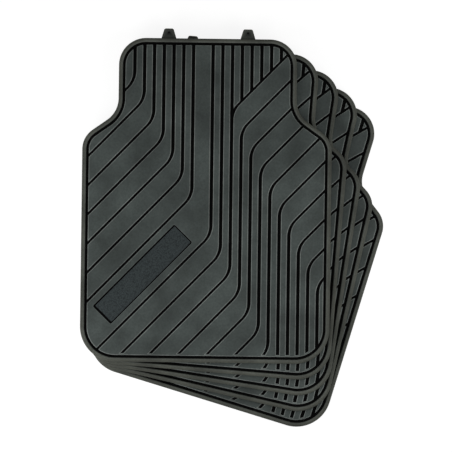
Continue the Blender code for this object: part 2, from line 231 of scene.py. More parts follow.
@dataclass(frozen=True)
class MatPlan:
    """Plan of one mat: its outline, its tread grooves, its badge recess and its tabs.

    Attributes:
        length, body_width: Size over the rim, without the tabs.
        head_width, head_length, shoulder_length: Size of the narrow head and of the slope below it.
        head_radius, neck_radius, shoulder_radius, foot_radius: Radii of the outline's corners.
        rim_width, rim_groove_width: Width of the rim and of the groove inside it.
        groove_count, groove_pitch: Number of tread grooves and the step between their upright stretches.
        upright_width, slanted_width: Width of a groove's upright and slanted stretches.
        slant, bend_radius: Angle of the slanted stretches and the radius of the bends.
        first_bend_drop, bend_step: Drop of the first bend from the head's edge, and of each one after it.
        upright_length: Length from a groove's lower bend to its upper bend.
        badge_groove: Groove left out for the badge.
        last_lower_bend, first_upper_bend: Last groove bent at the bottom and first one bent at the top.
        first_heel_groove, last_heel_groove: First and last of the grooves that stop short of the heel.
        heel_border: How far they stop short.
        last_head_groove: Last of the upright grooves above the first slanted one.
        badge_length, badge_width, badge_radius, badge_from_edge: Badge plate and its place along the slant.
        tab_spacing, tab_root, tab_tip, tab_height: Distance between the hanging tabs, and their size.
        tab_radius, tab_root_radius: Radii of a tab's corners at its tip and at its root.
        tab_hole, tab_hole_foot, tab_hole_from_tip: Width of a tab's blind hole at its mouth and foot, and its
            place.
    """

    length: float = 631 * MM
    body_width: float = 486 * MM
    head_width: float = 347 * MM
    head_length: float = 145 * MM
    shoulder_length: float = 49 * MM
    head_radius: float = 53 * MM
    neck_radius: float = 52 * MM
    shoulder_radius: float = 46 * MM
    foot_radius: float = 68 * MM
    rim_width: float = 7.8 * MM
    rim_groove_width: float = 5.0 * MM
    groove_count: int = 20
    groove_pitch: float = 19 * MM
    upright_width: float = 6.4 * MM
    slanted_width: float = 4.3 * MM
    slant: float = math.radians(45.8)
    bend_radius: float = 46 * MM
    first_bend_drop: float = 83 * MM
    bend_step: float = 37.4 * MM
    upright_length: float = 317 * MM
    badge_groove: int = 7
    last_lower_bend: int = 14
    first_upper_bend: int = 10
    first_heel_groove: int = 9
    last_heel_groove: int = 18
    heel_border: float = 4 * MM
    last_head_groove: int = 15
    badge_length: float = 218.6 * MM
    badge_width: float = 44.6 * MM
    badge_radius: float = 1 * MM
    badge_from_edge: float = 46.8 * MM
    tab_spacing: float = 154 * MM
    tab_root: float = 31.4 * MM
    tab_tip: float = 17.5 * MM
    tab_height: float = 19 * MM
    tab_radius: float = 4 * MM
    tab_root_radius: float = 1 * MM
    tab_hole: float = 3.2 * MM
    tab_hole_foot: float = 1.2 * MM
    tab_hole_from_tip: float = 7.5 * MM

    @property
    def panel_inset(self) -> float:
        """Distance from the mat's edge to the panels."""
        return self.rim_width + self.rim_groove_width

    @property
    def along_slant(self) -> Array:
        """Direction of the slanted stretches, up and to the right."""
        return np.array([math.cos(self.slant), math.sin(self.slant)])

    def outline(self, inset: float, wraps: bool = True) -> Line:
        """Outline of the mat moved in by a distance.

        A corner moves by (leaving - arriving) * inset / sin(turn), and its arc keeps its middle: outer
        corners tighten by the inset and inner corners widen by it.

        Args:
            inset: Distance from the mat's edge.
            wraps: Whether stretches of the line may run past its start.

        Returns:
            The outline, counter-clockwise from the right end of the heel.
        """
        neck = self.length / 2 - self.head_length
        right = np.array([
            [self.body_width / 2, -self.length / 2],
            [self.body_width / 2, neck - self.shoulder_length],
            [self.head_width / 2, neck],
            [self.head_width / 2, self.length / 2],
        ])
        radii = np.array([self.foot_radius, self.shoulder_radius, self.neck_radius, self.head_radius])
        corners = np.vstack([right, right[::-1] * (-1, 1)])
        arriving = unit(corners - np.roll(corners, 1, axis=0))
        leaving = np.roll(arriving, -1, axis=0)
        turn = cross(arriving, leaving)[:, None]
        moved = corners + (leaving - arriving) * inset / turn
        bends = np.concatenate([radii, radii[::-1]]) - np.sign(turn[:, 0]) * inset
        return Line(rounded(moved, bends), wraps)

    def groove_x(self, index: int) -> float:
        """Place of an upright groove across the mat."""
        return (index - self.badge_groove - 0.5) * self.groove_pitch

    def lower_bend(self, index: int) -> Array:
        """Corner where a groove turns from upright to slanting down and left."""
        drop = self.first_bend_drop + index * self.bend_step
        return np.array([self.groove_x(index), self.length / 2 - drop])

    def upper_bend(self, index: int) -> Array:
        """Corner where a groove turns from upright to slanting up and right."""
        return self.lower_bend(index) + (0, self.upright_length)

    def groove_edge(self, index: int, side: Side, margin: float, runs_on: bool = False) -> Line:
        """One edge of a groove, from its lower to its upper end. It runs on past the mat.

        The centre line is a chain of straight stretches and arcs. The edge lies half the groove's width and
        the margin off it, along the normal, and the width changes evenly round a bend.

        Args:
            index: The groove's number from the left.
            side: Which edge.
            margin: Distance that the edge is moved out of the groove.
            runs_on: Whether a groove that slants at the top is followed straight up instead.

        Returns:
            The edge.
        """
        reach = np.array([0, self.length])
        slanted_reach = self.along_slant * self.length
        low, high = self.lower_bend(index), self.upper_bend(index)
        bent_low = index <= self.last_lower_bend
        bent_high = index >= self.first_upper_bend and not runs_on
        start = low - (slanted_reach if bent_low else reach)
        end = high + (slanted_reach if bent_high else reach)
        points = [start[None]]
        widths = [[self.slanted_width if bent_low else self.upright_width]]
        if bent_low:
            points.append(arc(start, low, high, self.bend_radius))
            widths.append(np.linspace(self.slanted_width, self.upright_width, len(points[-1])))
        if bent_high:
            points.append(arc(low, high, end, self.bend_radius))
            widths.append(np.linspace(self.upright_width, self.slanted_width, len(points[-1])))
        points.append(end[None])
        widths.append([self.slanted_width if bent_high else self.upright_width])
        line, width = np.vstack(points), np.concatenate(widths)
        padded = np.vstack([line[:1], line, line[-1:]])
        along = unit(padded[2:] - padded[:-2])
        normal = np.column_stack([-along[:, 1], along[:, 0]])
        return Line(line + normal * (width / 2 + margin)[:, None] * side.value)

    def head_edge(self, index: int, side: Side, margin: float) -> Line:
        """One edge of an upright groove in the head: a straight line up past the head's edge."""
        x = self.groove_x(index) - (self.upright_width / 2 + margin) * side.value
        return Line(np.array([[x, 0], [x, self.length]]))

    def badge_ring(self, margin: float, low: float = 0.0, left: float = 0.0) -> Array:
        """Outline of the badge plate on the slant, grown by a margin, counter-clockwise.

        A point of a corner is the middle of the corner's arc and a spoke. The corners at the lower end are
        moved on along the slant, and those on the upper left side across it.

        Args:
            margin: Distance that the outline is moved out of the plate.
            low: How much further its lower end is moved out.
            left: How much further its upper left side is moved out.

        Returns:
            The points, one row each. Every margin gives the same number.
        """
        corner = self.lower_bend(self.badge_groove)
        panel_edge = -self.body_width / 2 + self.panel_inset
        along = self.along_slant
        start = corner + along * (panel_edge - corner[0]) / along[0]
        middle = start + along * (self.badge_from_edge + self.badge_length / 2)
        across = np.array([-along[1], along[0]])
        first_angles = np.pi / 2 * np.arange(4)
        angles = np.linspace(0, np.pi / 2, BADGE_CORNER_POINTS) + first_angles[:, None]
        signs = np.array([[1, 1], [-1, 1], [-1, -1], [1, -1]])[:, None]
        half = np.array([self.badge_length, self.badge_width]) / 2 - self.badge_radius
        spokes = np.dstack([np.cos(angles), np.sin(angles)]) * (self.badge_radius + margin)
        places = signs * half + spokes
        places = (places + np.where(signs < 0, (-low, 0), (0, left))).reshape(-1, 2)
        return middle + places[:, :1] * along + places[:, 1:] * across


@dataclass(frozen=True)
class GrooveEdge:
    """One edge of a groove, from where it enters the field of panels to where it leaves it.

    Attributes:
        line: The line that the edge lies on, from its lower to its upper end.
        low, high: Marks on that line at the edge's two ends.
        field_low, field_high: Marks on the field's edge at the same two ends.
    """

    line: Line
    low: float
    high: float
    field_low: float
    field_high: float

    @classmethod
    def cut(cls, line: Line, field: Line) -> "GrooveEdge":
        """The edge on a line, cut off where the line first and last crosses the field's edge."""
        marks, places = line.crossings(field)
        return cls(line, marks[0], marks[-1], places[0], places[-1])

    @property
    def up(self) -> Stretch:
        """The whole edge, upwards."""
        return self.line, self.low, self.high

    @property
    def down(self) -> Stretch:
        """The whole edge, downwards."""
        return self.line, self.high, self.low


class PanelField:
    """The tread panels of one mat, traced along the grooves and the edge of the field inside the rim groove.

    Attributes:
        plan: The mat's plan.
        counts: Number of points of each stretch, by panel and stretch. The first trace sets it, so that rings
            with other margins have the same number of points and can be joined to it.
    """

    def __init__(self, plan: MatPlan) -> None:
        """Start with no counts."""
        self.plan = plan
        self.counts: dict[tuple[str, int], int] = {}

    def ring(self, name: str, stretches: Sequence[Stretch]) -> Array:
        """Closed ring of a panel, put together from stretches that follow each other.

        Args:
            name: The panel's name.
            stretches: The stretches, counter-clockwise.

        Returns:
            The ring's points, one row each.
        """
        points = []
        for number, (line, start, end) in enumerate(stretches):
            steps = math.ceil(abs(line.steps(start, end)))
            count = self.counts.setdefault((name, number), max(steps, FEWEST_POINTS))
            points.append(line.stretch(start, end, count))
        return np.vstack(points)

    def rings(self, margin: float) -> dict[str, Array]:
        """Rings round all panels, counter-clockwise, moved into the panels by a margin.

        Args:
            margin: Distance from the panels' edges.

        Returns:
            The rings by the panels' names.
        """
        plan = self.plan
        field = plan.outline(plan.panel_inset + margin)
        grooves = [index for index in range(plan.groove_count) if index != plan.badge_groove]
        left: dict[int, GrooveEdge] = {}
        right: dict[int, GrooveEdge] = {}
        for index in grooves:
            runs_on = index == plan.first_upper_bend
            left[index] = GrooveEdge.cut(plan.groove_edge(index, Side.LEFT, margin, runs_on), field)
            right[index] = GrooveEdge.cut(plan.groove_edge(index, Side.RIGHT, margin), field)
        first, last = left[grooves[0]], right[grooves[-1]]
        made = {
            "first": self.ring("first", [(field, first.field_high, first.field_low), first.up]),
            "last": self.ring("last", [(field, last.field_low, last.field_high), last.down]),
        }
        for before, after in zip(grooves, grooves[1:]):
            if after >= plan.first_heel_groove:
                break
            inner, outer = right[before], left[after]
            foot = (field, inner.field_low, outer.field_low)
            head = (field, outer.field_high, inner.field_high)
            name = "badge" if after == plan.badge_groove + 1 else f"slanted_{before}"
            made[name] = self.ring(name, [foot, outer.up, head, inner.down])
        made["comb"] = self.comb(margin, field, left, right)
        made.update(self.head_rings(margin, field))
        return made

    def comb(
        self, margin: float, field: Line, left: dict[int, GrooveEdge], right: dict[int, GrooveEdge]
    ) -> Array:
        """Ring of the panels that the border along the heel joins, like the teeth of a comb.

        It follows the heel, then goes up and down the edges of each groove that stops short of the heel.

        Args:
            margin: Distance from the panels' edges.
            field: Edge of the field.
            left: Left edges of the grooves.
            right: Right edges of the grooves.

        Returns:
            The ring's points, one row each.
        """
        plan = self.plan
        heel = plan.outline(plan.panel_inset + plan.heel_border - margin, wraps=False)
        outer = left[plan.last_heel_groove + 1]
        inner = right[plan.first_heel_groove - 1]
        stretches = [(field, inner.field_low, outer.field_low), outer.up]
        for index in range(plan.last_heel_groove, plan.first_heel_groove - 1, -1):
            near, far = right[index], left[index]
            near_low, heel_start = (marks[0] for marks in near.line.crossings(heel))
            far_low, heel_end = (marks[0] for marks in far.line.crossings(heel))
            stretches += [
                (field, outer.field_high, near.field_high),
                (near.line, near.high, near_low),
                (heel, heel_start, heel_end),
                (far.line, far_low, far.high),
            ]
            outer = far
        stretches += [(field, outer.field_high, inner.field_high), inner.down]
        return self.ring("comb", stretches)

    def head_rings(self, margin: float, field: Line) -> dict[str, Array]:
        """Rings of the short panels in the head, which end at the upper edge of the first slanted groove.

        Args:
            margin: Distance from the panels' edges.
            field: Edge of the field.

        Returns:
            The rings by the panels' names.
        """
        plan = self.plan
        branch = plan.groove_edge(plan.first_upper_bend, Side.LEFT, margin)
        made = {}
        for index in range(plan.first_upper_bend, plan.last_head_groove + 1):
            inner = plan.head_edge(index, Side.RIGHT, margin)
            inner_low, branch_start = (marks[0] for marks in inner.crossings(branch))
            inner_high, head_end = (marks[-1] for marks in inner.crossings(field))
            if index < plan.last_head_groove:
                outer = plan.head_edge(index + 1, Side.LEFT, margin)
                outer_low, branch_end = (marks[0] for marks in outer.crossings(branch))
                outer_high, head_start = (marks[-1] for marks in outer.crossings(field))
                side = [(outer, outer_low, outer_high)]
            else:
                branch_end, head_start = (marks[-1] for marks in branch.crossings(field))
                side = []
            name = f"head_{index}"
            foot = (branch, branch_start, branch_end)
            head = (field, head_start, head_end)
            made[name] = self.ring(name, [foot, *side, head, (inner, inner_high, inner_low)])
        return made


@dataclass(frozen=True)
class Finish:
    """How a point of a moulding is coloured.

    Attributes:
        relief: 0 in the bottom of a groove, 1 on top of a panel. Below 1 the grooves' painted shade shows.
        rim: 1 on the rim, 0 elsewhere.
        scuff_and_highlight: 1 on an edge that is painted pale, as scuffing and a painted highlight, 0
            elsewhere.
    """

    relief: float = 1.0
    rim: float = 0.0
    scuff_and_highlight: float = 0.0


@dataclass(frozen=True)
class Step:
    """One point of an edge's profile.

    Attributes:
        margin: Distance into the material from the edge's line in the plan.
        height: Height above the mat's underside.
        finish: How the point is coloured.
    """

    margin: float
    height: float
    finish: Finish


@dataclass(frozen=True)
class Place:
    """Turn and height of a mat in the stack.

    Attributes:
        axis: Place of the fan's axis in the plan.
        turn: Turn about the axis, clockwise seen from above, in radians.
        height: Height of the mat's underside.
    """

    axis: tuple[float, float]
    turn: float
    height: float

    def move(self, points: Array) -> Array:
        """Turn points of the mat's own frame about the fan's axis and raise them.

        Measured from the axis, a turn by t takes x to x cos t + y sin t and y to y cos t - x sin t.

        Args:
            points: The points, one row each.

        Returns:
            The points in the stack, one row each.
        """
        cosine, sine = math.cos(self.turn), math.sin(self.turn)
        spin = np.array([[cosine, -sine], [sine, cosine]])
        plan = (points[:, :2] - self.axis) @ spin + self.axis
        return np.column_stack([plan, points[:, 2] + self.height])


class Moulding:
    """Points, faces and finish values of one closed mesh while it is put together."""

    def __init__(self) -> None:
        """Start with an empty mesh."""
        self.points: list[Array] = []
        self.finishes: list[Array] = []
        self.faces: list[list[int]] = []
        self.total = 0

    def add_ring(self, ring: Array, step: Step) -> Array:
        """Add a ring of the plan at the height of a step.

        Args:
            ring: The ring's points in the plan, one row each.
            step: Gives the height and the finish.

        Returns:
            The numbers of the ring's points in the mesh.
        """
        count = len(ring)
        self.points.append(np.column_stack([ring, np.full(count, step.height)]))
        finish = step.finish
        self.finishes.append(np.tile((finish.relief, finish.rim, finish.scuff_and_highlight), (count, 1)))
        self.total += count
        return np.arange(self.total - count, self.total)

    def loft(self, rings: Sequence[Array]) -> None:
        """Join rings of equal length one after another with four-sided faces.

        Going round a ring counter-clockwise, a face lies on the right where the next ring is above.

        Args:
            rings: Numbers of each ring's points.
        """
        for first, second in zip(rings, rings[1:]):
            quads = np.column_stack([first, np.roll(first, -1), np.roll(second, -1), second])
            self.faces += quads.tolist()

    def fill(self, outer: Array, holes: Sequence[Array] = (), faces_up: bool = True) -> None:
        """Fill the flat area between a ring and the holes in it with Delaunay triangles.

        A triangle that lies in a hole has two owners, the outer ring and the hole, and is left out.

        Args:
            outer: Numbers of the outer ring's points.
            holes: Numbers of the points of each hole's ring.
            faces_up: Whether the faces look up.
        """
        rings = [outer, *holes]
        numbers = np.concatenate(rings)
        places = np.vstack(self.points)[numbers, :2].tolist()
        ends = np.cumsum([len(ring) for ring in rings])
        outlines = [np.arange(end - len(ring), end).tolist() for end, ring in zip(ends, rings)]
        result = delaunay_2d_cdt(places, [], outlines, FILL_INSIDE, FILL_TOLERANCE)
        _, _, made, given, _, owners = result
        inside = [len(owner) == 1 and owner[0] == 0 for owner in owners]
        sources = np.array([ids[0] for ids in given])
        triangles = numbers[sources[np.array(made)[inside]]]
        corners = np.vstack(self.points)[triangles, :2]
        signs = cross(corners[:, 1] - corners[:, 0], corners[:, 2] - corners[:, 0]) > 0
        turned = signs != faces_up
        triangles[turned] = triangles[turned][:, ::-1]
        self.faces += triangles.tolist()

    def build(self, name: str, place: Place, materials: Sequence[bpy.types.Material]) -> bpy.types.Object:
        """Make the mesh object at a place in the stack.

        Args:
            name: The object's name.
            place: Turn and height of the mat that the piece belongs to.
            materials: The material, and where the piece has grooves a second one for faces without relief, a
                copy
            with almost no gloss, as painted shade.

        Returns:
            The object, at the origin, with its place in its mesh.
        """
        mesh = bpy.data.meshes.new(name)
        mesh.from_pydata(place.move(np.vstack(self.points)).tolist(), [], self.faces)
        values = np.vstack(self.finishes)
        finish = mesh.attributes.new("finish", "FLOAT_VECTOR", "POINT")
        finish.data.foreach_set("vector", values.astype(np.float32).ravel())
        for material in materials:
            mesh.materials.append(material)
        corners = np.empty(len(mesh.loops), np.int32)
        mesh.loops.foreach_get("vertex_index", corners)
        starts = np.empty(len(mesh.polygons), np.int32)
        mesh.polygons.foreach_get("loop_start", starts)
        # Faces with no relief at any corner take the second material, the grooves' painted shade.
        sunk = np.maximum.reduceat(values[corners, 0], starts) == 0
        mesh.polygons.foreach_set("material_index", sunk.astype(np.int32))
        mesh.shade_smooth()
        obj = bpy.data.objects.new(name, mesh)
        bpy.context.scene.collection.objects.link(obj)
        return obj


def quarter(start: Sequence[float], middle: Sequence[float], end: Sequence[float], count: int) -> Array:
    """Points of a quarter arc in a profile: middle + cos(a) (start - middle) + sin(a) (end - middle).

    Args:
        start: Margin and height at the arc's start.
        middle: Margin and height of its middle.
        end: Margin and height at its end.
        count: How many points.

    Returns:
        Margin and height of each point, one row each.
    """
    angles = np.linspace(0, np.pi / 2, count)[:, None]
    first, centre, last = (np.array(place, float) for place in (start, middle, end))
    return centre + np.cos(angles) * (first - centre) + np.sin(angles) * (last - centre)


@dataclass(frozen=True)
class RubberMat:
    """One moulded mat: base sheet, rim, tread panels, badge recess and hanging tabs.

    Attributes:
        plan: The mat's plan.
        base, panel_height, rim_rise: Thickness of the base sheet, height of the panels above it and height of
            the rim above the panels.
        panel_bevel, foot_fillet, draft: Width of the bevel along the panels' edges, radius of the fillet at
            their foot, and how far their walls lean in.
        rim_edge, sheet_edge: Radius of the rim's top edges and of the edge round the underside.
        flat: Width of the flat strip that keeps an edge's shading and its pale tone, scuffing with a painted
        highlight, off the flat beside it.
        recess_gap, recess_lean: Gap between the recess and the badge plate, and how far its walls lean out.
        recess_low, recess_left: How much further the walls at its lower end and its upper left side lean out.
        tab_thickness, tab_edge, tab_hole_floor: Thickness of a tab, the radius of its edges and the skin that
            is left under its hole.
        arc_points: Points of each rounded edge.
    """

    plan: MatPlan
    base: float = 2.4 * MM
    panel_height: float = 3.0 * MM
    rim_rise: float = 2.6 * MM
    panel_bevel: float = 1.0 * MM
    foot_fillet: float = 0.4 * MM
    draft: float = 0.15 * MM
    rim_edge: float = 2.8 * MM
    sheet_edge: float = 0.8 * MM
    flat: float = 0.5 * MM
    recess_gap: float = 1.7 * MM
    recess_lean: float = 0.3 * MM
    recess_low: float = 2.4 * MM
    recess_left: float = 1.0 * MM
    tab_thickness: float = 3.0 * MM
    tab_edge: float = 0.6 * MM
    tab_hole_floor: float = 0.6 * MM
    arc_points: int = 4

    @property
    def panel_top(self) -> float:
        """Height of the panels' tops."""
        return self.base + self.panel_height

    @property
    def rim_top(self) -> float:
        """Height of the rim's top."""
        return self.panel_top + self.rim_rise

    def wall_profile(self) -> list[Step]:
        """Profile of a panel's wall: floor strip, fillet, leaning wall, bevel and top strip.

        Returns:
            The profile's points from the floor up.
        """
        foot, bevel = self.foot_fillet, self.panel_bevel
        # The floor strip and the fillet take the grooves' near-black, which is painted shade, and the bevel's
        # foot a share of it. The bevel is painted pale, as scuffing and a painted highlight.
        floor = Finish(relief=0)
        high = self.base + foot
        steps = [Step(-foot - self.flat, self.base, floor)]
        fillet = quarter((-foot, self.base), (-foot, high), (0, high), self.arc_points)
        steps += [Step(*place, floor) for place in fillet]
        steps.append(Step(self.draft, self.panel_top - bevel, Finish(relief=BEVEL_FOOT, scuff_and_highlight=BEVEL_FOOT)))
        steps.append(Step(self.draft + bevel, self.panel_top, Finish(scuff_and_highlight=1)))
        steps.append(Step(self.draft + bevel + self.flat, self.panel_top, Finish()))
        return steps

    def recess_profile(self) -> list[Step]:
        """Profile of the badge recess: top strip, bevel and wall.

        Returns:
            The profile's points from the mouth down. Their margins grow outwards from the plate.
        """
        foot = self.recess_gap
        lip = foot + self.recess_lean
        edge = lip + self.panel_bevel / 2
        # The lip is painted pale, as scuffing and a painted highlight. The wall below it and the recess's
        # floor take the grooves' near-black, which is painted shade, and the wall's further lean at two sides
        # widens it there.
        return [
            Step(edge + self.flat, self.panel_top, Finish()),
            Step(edge, self.panel_top, Finish(scuff_and_highlight=RECESS_SCUFF_AND_HIGHLIGHT)),
            Step(lip, self.panel_top - self.panel_bevel / 2, Finish(relief=0)),
            Step(foot, self.base, Finish(relief=0)),
        ]

    def rim_profile(self) -> list[Step]:
        """Profile of the rim, with rounded edges and a fillet at its inner foot.

        Returns:
            The profile's points from the underside round the outside, over the top and down to the floor.
        """
        sheet, edge, foot, count = self.sheet_edge, self.rim_edge, self.foot_fillet, self.arc_points
        width, top, side = self.plan.rim_width, self.rim_top, self.rim_top - self.rim_edge
        # The fillet and the floor at the rim's foot take the grooves' near-black, which is painted shade.
        under, crown, floor = Finish(), Finish(rim=1), Finish(relief=0)
        # The rim's inner edge is painted pale, as scuffing and a painted highlight.
        inner_scuff_and_highlight = Finish(rim=1, scuff_and_highlight=RIM_SCUFF_AND_HIGHLIGHT)
        steps = [Step(sheet + self.flat, 0, under)]
        lower = quarter((sheet, 0), (sheet, sheet), (0, sheet), count)
        steps += [Step(*place, under) for place in lower]
        outer = quarter((0, side), (edge, side), (edge, top), 2 * count)
        steps += [Step(*place, crown) for place in outer]
        steps.append(Step(width / 2, top, crown))
        inner = quarter((width - edge, top), (width - edge, side), (width, side), 2 * count)
        steps += [Step(*place, inner_scuff_and_highlight) for place in inner]
        high, far = self.base + foot, width + foot
        fillet = quarter((width, high), (far, high), (far, self.base), count)
        steps += [Step(*place, floor) for place in fillet]
        steps.append(Step(far + self.flat, self.base, floor))
        return steps

    def add_tray(self, mould: Moulding) -> Array:
        """Add the rim and the underside to a moulding.

        The rim's profile is carried round the outline: each of its points gives one ring, the outline moved
        in by the point's margin, at the point's height.

        Args:
            mould: The moulding.

        Returns:
            Numbers of the points of the ring where the floor starts.
        """
        count = math.ceil(self.plan.outline(0).marks[-1])
        rings = []
        for step in self.rim_profile():
            line = self.plan.outline(step.margin)
            marks = np.arange(count) * line.marks[-1] / count
            ring = np.column_stack([np.interp(marks, line.marks, line.points[:, axis]) for axis in (0, 1)])
            rings.append(mould.add_ring(ring, step))
        mould.loft(rings)
        mould.fill(rings[0], faces_up=False)
        return rings[-1]

    def add_panels(self, mould: Moulding, floor_edge: Array) -> None:
        """Add the panels, the recess and the floor between them to a moulding.

        The wall's profile is carried round every panel, and the flats inside and between the walls are
        filled.

        Args:
            mould: The moulding.
            floor_edge: Numbers of the points of the ring where the floor starts.
        """
        panel_field = PanelField(self.plan)
        traced = [(step, panel_field.rings(step.margin)) for step in self.wall_profile()]
        feet = []
        for name in traced[0][1]:
            rings = [mould.add_ring(made[name], step) for step, made in traced]
            mould.loft(rings)
            feet.append(rings[0])
            holes = [self.add_recess(mould)] if name == "badge" else []
            mould.fill(rings[-1], holes)
        mould.fill(floor_edge, feet)

    def add_recess(self, mould: Moulding) -> Array:
        """Add the wall and the floor of the badge recess to a moulding.

        The recess's profile is carried round the plate's outline, and its mouth leans further out on two
        sides.

        Args:
            mould: The moulding.

        Returns:
            Numbers of the points of the recess's mouth.
        """
        *mouth, foot = self.recess_profile()
        rings = [
            mould.add_ring(self.plan.badge_ring(step.margin, self.recess_low, self.recess_left), step)
            for step in mouth
        ]
        rings.append(mould.add_ring(self.plan.badge_ring(foot.margin), foot))
        mould.loft(rings)
        mould.fill(rings[-1])
        return rings[0]

    def tab_ring(self, x: float, inset: float) -> Array:
        """Outline of a hanging tab moved in by a distance: a trapezoid with its root inside the rim.

        Args:
            x: Place of the tab's middle across the mat.
            inset: Distance from the tab's edge.

        Returns:
            The points, one row each, counter-clockwise.
        """
        plan = self.plan
        root = plan.length / 2 - plan.rim_width / 2
        tip = plan.length / 2 + plan.tab_height
        corners = np.array([
            [x + plan.tab_root / 2 - inset, root + inset],
            [x + plan.tab_tip / 2 - inset, tip - inset],
            [x - plan.tab_tip / 2 + inset, tip - inset],
            [x - plan.tab_root / 2 + inset, root + inset],
        ])
        tip_radius = plan.tab_radius - inset
        radii = np.array([plan.tab_root_radius, tip_radius, tip_radius, plan.tab_root_radius])
        return rounded(corners, radii)[:-1]

    def add_tab(self, mould: Moulding, x: float) -> None:
        """Add a hanging tab with its hole to a moulding, as a closed shell with its root in the rim.

        A rounded profile is carried round the tab's outline. The hole is a cone between two circles, whose
        points are the middle plus half the width times (cos a, sin a).

        Args:
            mould: The moulding.
            x: Place of the tab's middle across the mat.
        """
        plan, edge, thick, count = self.plan, self.tab_edge, self.tab_thickness, self.arc_points
        lower = quarter((edge, 0), (edge, edge), (0, edge), count)
        upper = quarter((0, thick - edge), (edge, thick - edge), (edge, thick), count)
        rings = [
            mould.add_ring(self.tab_ring(x, inset), Step(inset, height, Finish(rim=1)))
            for inset, height in np.vstack([lower, upper])
        ]
        mould.loft(rings)
        angles = np.linspace(0, 2 * np.pi, HOLE_POINTS, endpoint=False)
        circle = np.column_stack([np.cos(angles), np.sin(angles)])
        middle = (x, plan.length / 2 + plan.tab_height - plan.tab_hole_from_tip)
        # The hole's wall and the skin at its foot take the grooves' near-black, which is painted shade.
        mouth, foot = (
            mould.add_ring(middle + circle * width / 2, Step(0, height, Finish(relief=0)))
            for width, height in ((plan.tab_hole, thick), (plan.tab_hole_foot, self.tab_hole_floor))
        )
        mould.loft([mouth, foot])
        mould.fill(foot)
        mould.fill(rings[0], faces_up=False)
        mould.fill(rings[-1], [mouth])

    def build(self, name: str, place: Place, materials: Sequence[bpy.types.Material]) -> bpy.types.Object:
        """Build the whole mat.

        Args:
            name: The object's name.
            place: The mat's place in the stack.
            materials: The rubber of the raised faces and its copy with almost no gloss for the grooves, as
                painted shade.

        Returns:
            The mat's object.
        """
        mould = Moulding()
        floor_edge = self.add_tray(mould)
        self.add_panels(mould, floor_edge)
        for x in (self.plan.tab_spacing / 2, -self.plan.tab_spacing / 2):
            self.add_tab(mould, x)
        return mould.build(name, place, materials)


@dataclass(frozen=True)
class BadgePlate:
    """Bare vinyl plate in a mat's recess.

    Attributes:
        plan: The mat's plan.
        bottom, thickness: Height of the plate's underside and the plate's thickness.
        edge: Radius of its edges.
        flat: Width of the flat strip beside a rounded edge.
        arc_points: Points of each rounded edge.
    """

    plan: MatPlan
    bottom: float = 2.7 * MM
    thickness: float = 0.6 * MM
    edge: float = 0.25 * MM
    flat: float = 0.4 * MM
    arc_points: int = 4

    def build(self, name: str, place: Place, materials: Sequence[bpy.types.Material]) -> bpy.types.Object:
        """Build the plate: a profile with rounded edges carried round its outline, closed above and below.

        Args:
            name: The object's name.
            place: The place of the plate's mat in the stack.
            materials: The plate's material.

        Returns:
            The plate's object.
        """
        edge, low, high = self.edge, self.bottom, self.bottom + self.thickness
        lower = quarter((edge, low), (edge, low + edge), (0, low + edge), self.arc_points)
        upper = quarter((0, high - edge), (edge, high - edge), (edge, high), self.arc_points)
        inner = edge + self.flat
        profile = np.vstack([(inner, low), lower, upper, (inner, high)])
        mould = Moulding()
        rings = [
            mould.add_ring(self.plan.badge_ring(-inset), Step(inset, height, Finish()))
            for inset, height in profile
        ]
        mould.loft(rings)
        mould.fill(rings[0], faces_up=False)
        mould.fill(rings[-1])
        return mould.build(name, place, materials)


def linear(code: str) -> tuple[float, float, float, float]:
    """Linear colour of an sRGB hex code.

    A part c of the code gives c / 12.92 up to 0.04045, and ((c + 0.055) / 1.055) to the power 2.4 above it.

    Args:
        code: The hex code, with its sign in front.

    Returns:
        Red, green, blue and an alpha of 1.
    """
    values = np.array([int(code[start:start + 2], 16) for start in (1, 3, 5)]) / 255
    values = np.where(values <= 0.04045, values / 12.92, ((values + 0.055) / 1.055) ** 2.4)
    return (*values.tolist(), 1.0)


def add_node(
    tree: bpy.types.NodeTree, kind: str, links: dict[int | str, object] | None = None, **settings: object
) -> bpy.types.Node:
    """Add a node with its settings, and link or set its inputs.

    Args:
        tree: The node tree.
        kind: The node's type.
        links: An output to link, or a value to set, for each input.
        settings: Properties of the node.

    Returns:
        The node.
    """
    made = tree.nodes.new(kind)
    for name, value in settings.items():
        setattr(made, name, value)
    for socket, value in (links or {}).items():
        if isinstance(value, bpy.types.NodeSocket):
            tree.links.new(value, made.inputs[socket])
        else:
            made.inputs[socket].default_value = value
    return made


def new_material(name: str) -> tuple[bpy.types.Material, bpy.types.NodeTree, bpy.types.Node]:
    """Make a material.

    Args:
        name: The material's name.

    Returns:
        The material, its node tree and its Principled shader.
    """
    material = bpy.data.materials.new(name)
    material.use_nodes = True
    return material, material.node_tree, material.node_tree.nodes["Principled BSDF"]


